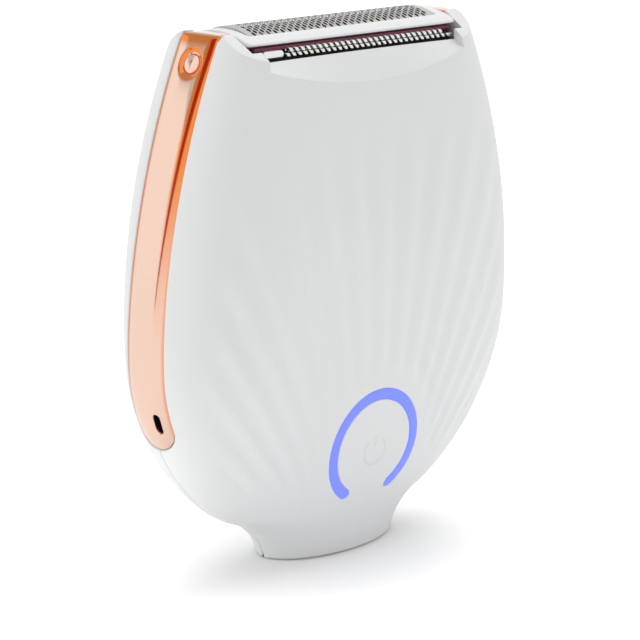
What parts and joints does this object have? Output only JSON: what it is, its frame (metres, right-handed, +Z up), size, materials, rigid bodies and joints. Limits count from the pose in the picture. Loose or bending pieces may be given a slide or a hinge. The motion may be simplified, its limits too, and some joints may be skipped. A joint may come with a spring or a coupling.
{
  "type": "electric foil shaver",
  "caption": "Palm-sized electric foil shaver: a fluted white bowl on a small foot, copper side trims, a lit ring round the power key, and a lift-off head with a foil and trimmers.",
  "frame": {"origin": "middle of the foot's underside, on the surface it stands on", "axes": "+Z up from the foot to the foil, -Y out of the fluted front with the power key, +X to the right trim seen from the back"},
  "size_m": [0.0854, 0.0302, 0.096],
  "materials": {
    "white_plastic": "satin",
    "light_guide": "frosted, lit",
    "copper_chrome": "polished",
    "button_copper": "polished",
    "seal_rubber": "matt",
    "trimmer_steel": "ground",
    "carrier_red": "matt",
    "foil_nickel": "satin",
    "blade_steel": "ground",
    "drive_plastic": "matt",
    "eccentric_plastic": "matt",
    "motor_can": "zinc plated",
    "screw_zinc": "zinc plated",
    "cell_wrap": "shrink wrap",
    "tab_nickel": "rolled",
    "board_green": "solder mask",
    "switch_black": "matt",
    "led_white": "clear, lit",
    "socket_black": "matt"
  },
  "bodies": {
    "housing": {"front_shell": "white_plastic", "rear_shell": "white_plastic", "left_trim": "copper_chrome", "right_trim": "copper_chrome", "light_ring": "light_guide", "head_deck": "drive_plastic", "drive_seal": "seal_rubber", "motor": "motor_can", "motor_cradle": "drive_plastic", "cell": "cell_wrap", "left_cell_tab": "tab_nickel", "right_cell_tab": "tab_nickel", "circuit_board": "board_green", "tact_switch": "switch_black", "top_led": "led_white", "left_led": "led_white", "right_led": "led_white", "charging_socket": "socket_black", "left_button_seal": "seal_rubber", "right_button_seal": "seal_rubber", "left_deck_screw": "screw_zinc", "right_deck_screw": "screw_zinc", "left_cradle_screw": "screw_zinc", "right_cradle_screw": "screw_zinc", "left_board_screw": "screw_zinc", "right_board_screw": "screw_zinc"},
    "shaving_head": {"head_frame": "white_plastic", "foil": "foil_nickel", "front_comb": "trimmer_steel", "rear_comb": "trimmer_steel", "front_trimmer_carrier": "carrier_red", "rear_trimmer_carrier": "carrier_red"},
    "cutter": {"cutter_blades": "blade_steel", "cutter_carriage": "drive_plastic", "drive_yoke": "drive_plastic"},
    "front_blade": {"front_trimmer_blade": "trimmer_steel"},
    "rear_blade": {"rear_trimmer_blade": "trimmer_steel"},
    "rotor": {"motor_shaft": "blade_steel", "eccentric": "eccentric_plastic"},
    "left_button": {"left_release_button": "button_copper"},
    "right_button": {"right_release_button": "button_copper"},
    "power_button": {"power_key": "white_plastic"}
  },
  "joints": [
    {"name": "head_lift", "type": "slide", "parent": "housing", "child": "shaving_head", "axis": [0, 0, 1], "range_m": [0, 0.022]},
    {"name": "cutter_stroke", "type": "slide", "parent": "housing", "child": "cutter", "axis": [1, 0, 0], "range_m": [-0.0008, 0.0008]},
    {"name": "front_blade_stroke", "type": "slide", "parent": "shaving_head", "child": "front_blade", "axis": [1, 0, 0], "range_m": [-0.0008, 0.0008]},
    {"name": "rear_blade_stroke", "type": "slide", "parent": "shaving_head", "child": "rear_blade", "axis": [1, 0, 0], "range_m": [-0.0008, 0.0008]},
    {"name": "rotor_spin", "type": "hinge", "parent": "housing", "child": "rotor", "pos_m": [0, 0, 0.076], "axis": [0, 0, 1], "continuous": true},
    {"name": "left_release_press", "type": "slide", "parent": "housing", "child": "left_button", "axis": [0.918, 0, -0.3967], "range_m": [0, 0.0008], "stiffness_N_per_m": 400},
    {"name": "right_release_press", "type": "slide", "parent": "housing", "child": "right_button", "axis": [-0.918, 0, -0.3967], "range_m": [0, 0.0008], "stiffness_N_per_m": 400},
    {"name": "power_press", "type": "hinge", "parent": "housing", "child": "power_button", "pos_m": [0, -0.0098, 0.01008], "axis": [-1, 0, 0], "range_deg": [0, 3], "stiffness_Nm_per_rad": 0.4}
  ],
  "couplings": [
    {"joint": "front_blade_stroke", "follows": "cutter_stroke", "ratio": 1},
    {"joint": "rear_blade_stroke", "follows": "cutter_stroke", "ratio": 1}
  ]
}
